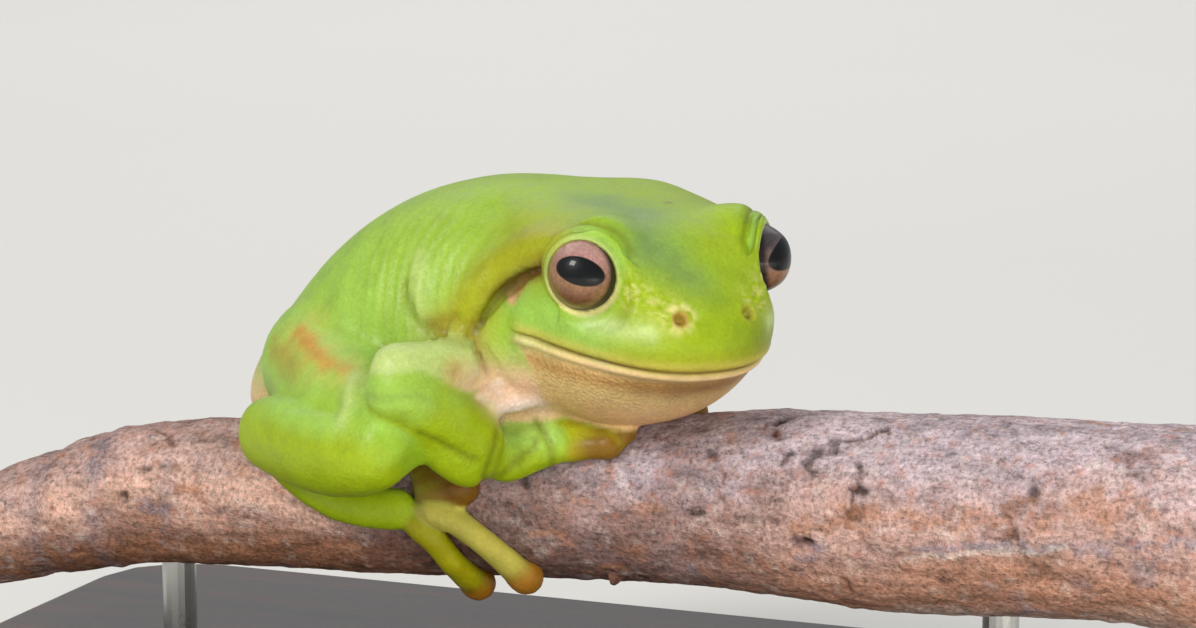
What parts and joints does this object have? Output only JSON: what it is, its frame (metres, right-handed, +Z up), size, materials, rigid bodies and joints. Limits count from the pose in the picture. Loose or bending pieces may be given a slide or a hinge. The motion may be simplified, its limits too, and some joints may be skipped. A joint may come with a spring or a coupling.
{
  "type": "tree frog on branch display model",
  "caption": "Life-size green tree frog crouching with its head turned, gripping a cut length of bare branch that two short rods hold over a flat rectangular base.",
  "frame": {"origin": "centre of the base's underside, where the model stands; the perch's centre line runs over it", "axes": "+X along the perch towards its thicker end and the side that the frog faces, +Z up, so -Y is the frog's right side, the side shown"},
  "size_m": [0.16, 0.092, 0.068],
  "materials": {
    "skin": "moist satin green skin, slightly granular",
    "pale_skin": "moist satin skin, pale green with orange along the thigh",
    "throat": "granular cream to tan throat skin",
    "digit": "moist cream and orange skin of fingers and toes",
    "eye": "wet gloss, pinkish brown iris with a black level pupil",
    "eardrum": "thin tan skin, satin",
    "bark": "weathered greyish pink bark, matt",
    "base": "dark stained wood, satin lacquer",
    "steel": "brushed rod"
  },
  "bodies": {
    "root": {"head": "skin", "lower_jaw": "throat", "eye_left": "eye", "eye_right": "eye", "eardrum_left": "eardrum", "eardrum_right": "eardrum", "trunk": "skin", "forearm_right": "skin", "hand_right": "skin", "shank_right": "skin", "foot_right": "skin", "upper_arm_right": "pale_skin", "thigh_right": "pale_skin", "finger_right_1": "digit", "finger_right_2": "digit", "finger_right_3": "digit", "finger_right_4": "digit", "toe_right_1": "digit", "toe_right_2": "digit", "toe_right_3": "digit", "toe_right_4": "digit", "toe_right_5": "digit", "forearm_left": "skin", "hand_left": "skin", "shank_left": "skin", "foot_left": "skin", "upper_arm_left": "pale_skin", "thigh_left": "pale_skin", "finger_left_1": "digit", "finger_left_2": "digit", "finger_left_3": "digit", "finger_left_4": "digit", "toe_left_1": "digit", "toe_left_2": "digit", "toe_left_3": "digit", "toe_left_4": "digit", "toe_left_5": "digit", "perch": "bark", "stand_base": "base", "stand_rod_left": "steel", "stand_rod_right": "steel"}
  },
  "joints": []
}
